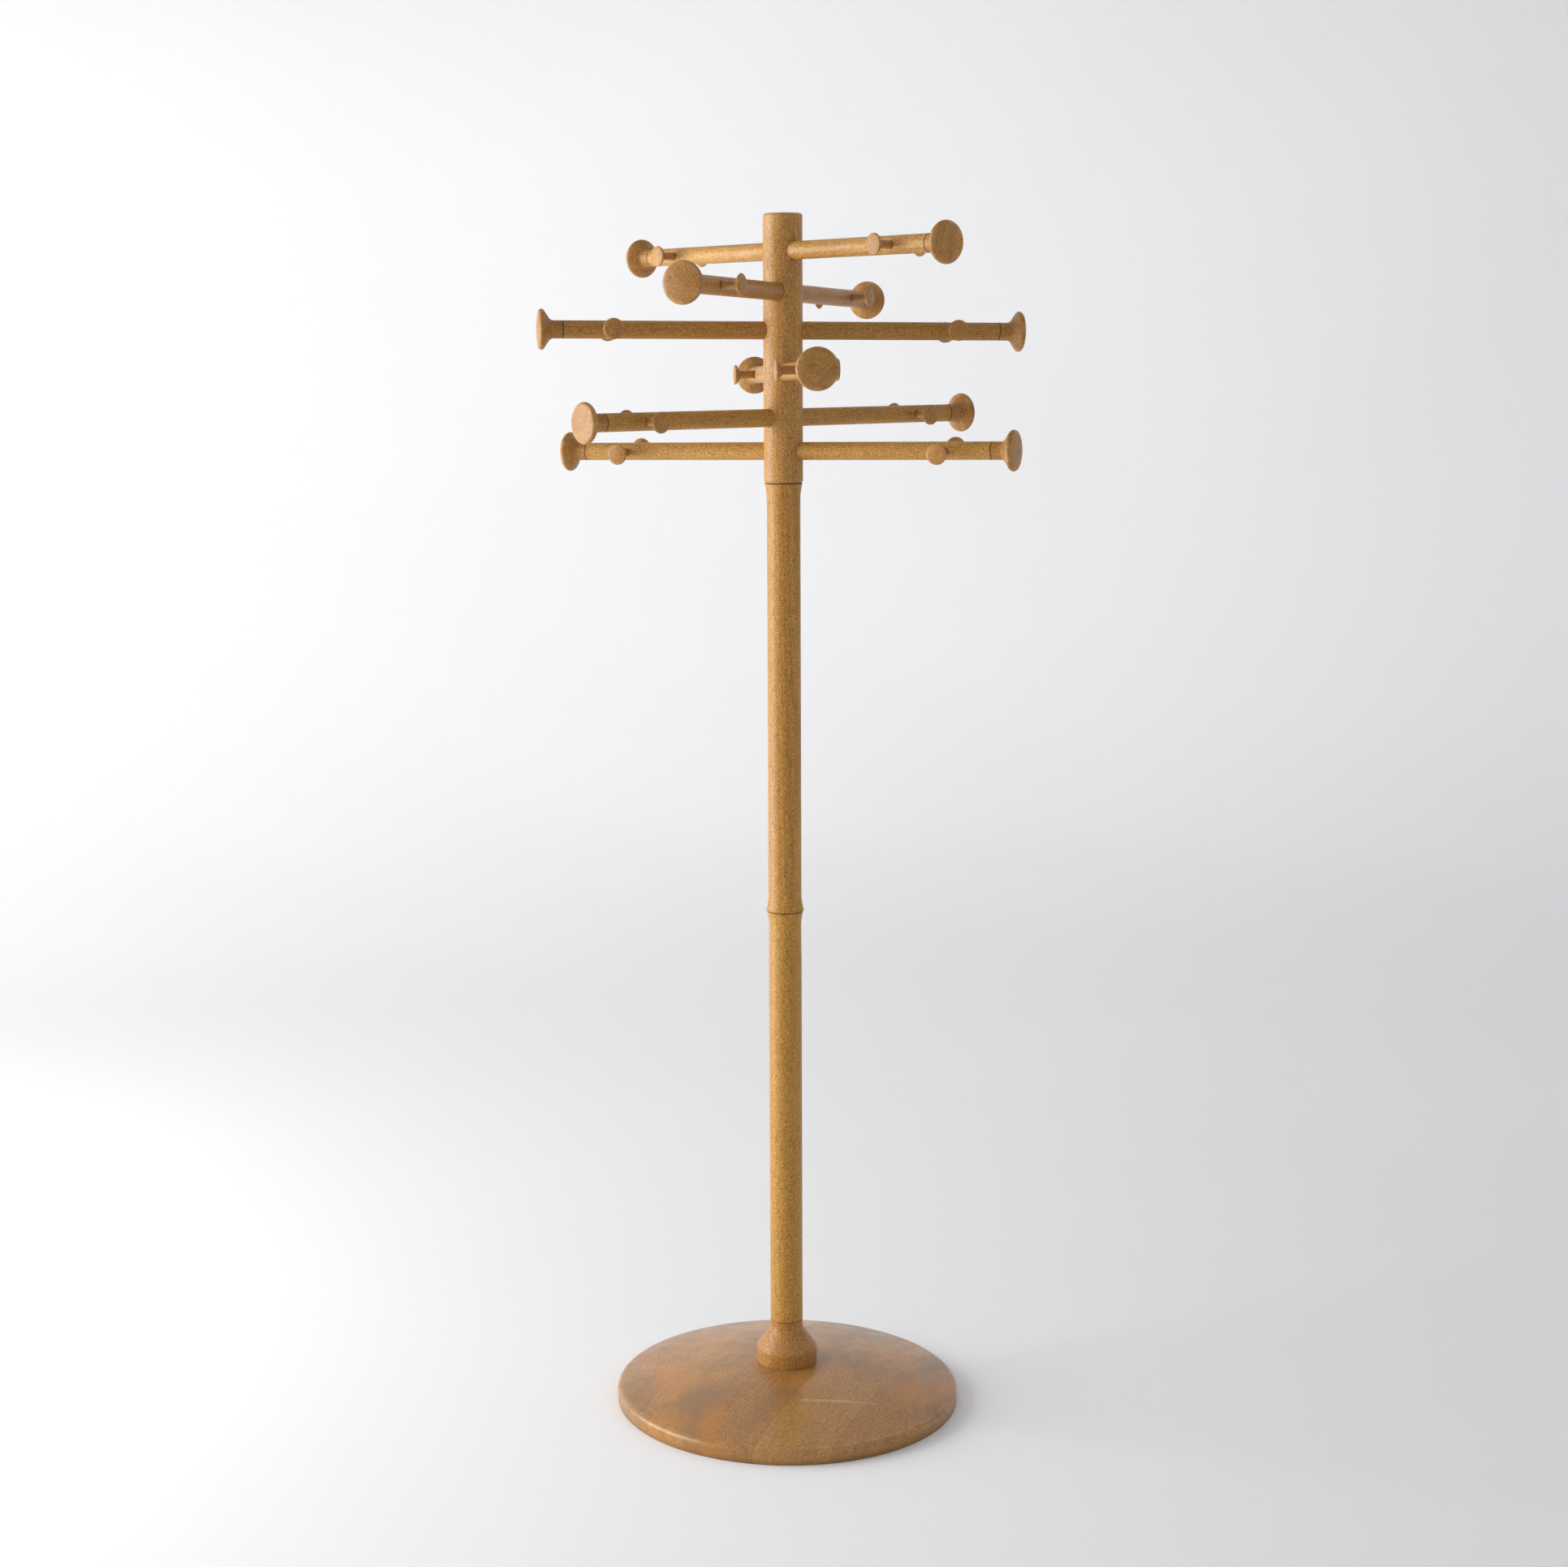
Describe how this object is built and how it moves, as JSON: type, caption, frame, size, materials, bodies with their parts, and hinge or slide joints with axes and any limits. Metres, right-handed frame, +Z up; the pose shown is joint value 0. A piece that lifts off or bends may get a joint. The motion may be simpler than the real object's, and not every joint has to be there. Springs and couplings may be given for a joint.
{
  "type": "coat stand",
  "caption": "Free-standing wooden coat stand: domed round base, sectional turned post and a head of crossing through-arms with mushroom end knobs and cross pegs.",
  "frame": {"origin": "centre of the base's underside, on the floor under the post's axis", "axes": "+Z up along the post's axis, +X within two degrees of the third arm from the top"},
  "size_m": [0.6868, 0.6868, 1.72],
  "materials": {
    "base_wood": "satin lacquered beech boards, edge-glued",
    "collar_wood": "satin lacquered beech",
    "post_wood": "satin lacquered beech",
    "head_wood": "satin lacquered beech",
    "arm_wood": "satin lacquered beech dowel",
    "knob_wood": "satin lacquered turned beech",
    "peg_wood": "satin lacquered turned beech",
    "steel": "zinc plated",
    "brass": "plain"
  },
  "bodies": {
    "foot": {"base_board_1": "base_wood", "base_board_2": "base_wood", "base_board_3": "base_wood", "base_board_4": "base_wood", "base_board_5": "base_wood", "foot_collar": "collar_wood", "collar_screws": "steel", "foot_stud": "steel"},
    "lower_carrier": {"lower_insert": "brass"},
    "lower_section": {"lower_post": "post_wood", "middle_stud": "steel"},
    "middle_carrier": {"middle_insert": "brass"},
    "middle_section": {"middle_post": "post_wood", "head_stud": "steel"},
    "head_carrier": {"head_insert": "brass"},
    "head_section": {"head": "head_wood", "arm_1": "arm_wood", "arm_2": "arm_wood", "arm_3": "arm_wood", "arm_4": "arm_wood", "arm_5": "arm_wood", "arm_6": "arm_wood", "end_knob_1a": "knob_wood", "end_knob_1b": "knob_wood", "end_knob_2a": "knob_wood", "end_knob_2b": "knob_wood", "end_knob_3a": "knob_wood", "end_knob_3b": "knob_wood", "end_knob_4a": "knob_wood", "end_knob_4b": "knob_wood", "end_knob_5a": "knob_wood", "end_knob_5b": "knob_wood", "end_knob_6a": "knob_wood", "end_knob_6b": "knob_wood", "peg_1a_front": "peg_wood", "peg_1a_back": "peg_wood", "peg_1b_front": "peg_wood", "peg_1b_back": "peg_wood", "peg_2a_front": "peg_wood", "peg_2a_back": "peg_wood", "peg_2b_front": "peg_wood", "peg_2b_back": "peg_wood", "peg_3a_front": "peg_wood", "peg_3a_back": "peg_wood", "peg_3b_front": "peg_wood", "peg_3b_back": "peg_wood", "peg_4a_front": "peg_wood", "peg_4a_back": "peg_wood", "peg_4b_front": "peg_wood", "peg_4b_back": "peg_wood", "peg_5a_front": "peg_wood", "peg_5a_back": "peg_wood", "peg_5b_front": "peg_wood", "peg_5b_back": "peg_wood", "peg_6a_front": "peg_wood", "peg_6a_back": "peg_wood", "peg_6b_front": "peg_wood", "peg_6b_back": "peg_wood"}
  },
  "joints": [
    {"name": "lower_rise", "type": "slide", "parent": "foot", "child": "lower_carrier", "axis": [0, 0, 1], "range_m": [0, 0.0176]},
    {"name": "lower_unscrew", "type": "hinge", "parent": "lower_carrier", "child": "lower_section", "pos_m": [0, 0, 0.12], "axis": [0, 0, 1], "range_deg": [0, 3600]},
    {"name": "middle_rise", "type": "slide", "parent": "lower_section", "child": "middle_carrier", "axis": [0, 0, 1], "range_m": [0, 0.0176]},
    {"name": "middle_unscrew", "type": "hinge", "parent": "middle_carrier", "child": "middle_section", "pos_m": [0, 0, 0.7365], "axis": [0, 0, 1], "range_deg": [0, 3600]},
    {"name": "head_rise", "type": "slide", "parent": "middle_section", "child": "head_carrier", "axis": [0, 0, 1], "range_m": [0, 0.0176]},
    {"name": "head_unscrew", "type": "hinge", "parent": "head_carrier", "child": "head_section", "pos_m": [0, 0, 1.3495], "axis": [0, 0, 1], "range_deg": [0, 3600]}
  ],
  "couplings": [
    {"joint": "lower_rise", "follows": "lower_unscrew", "m_per_rad": 0.00027852},
    {"joint": "middle_rise", "follows": "middle_unscrew", "m_per_rad": 0.00027852},
    {"joint": "head_rise", "follows": "head_unscrew", "m_per_rad": 0.00027852}
  ]
}
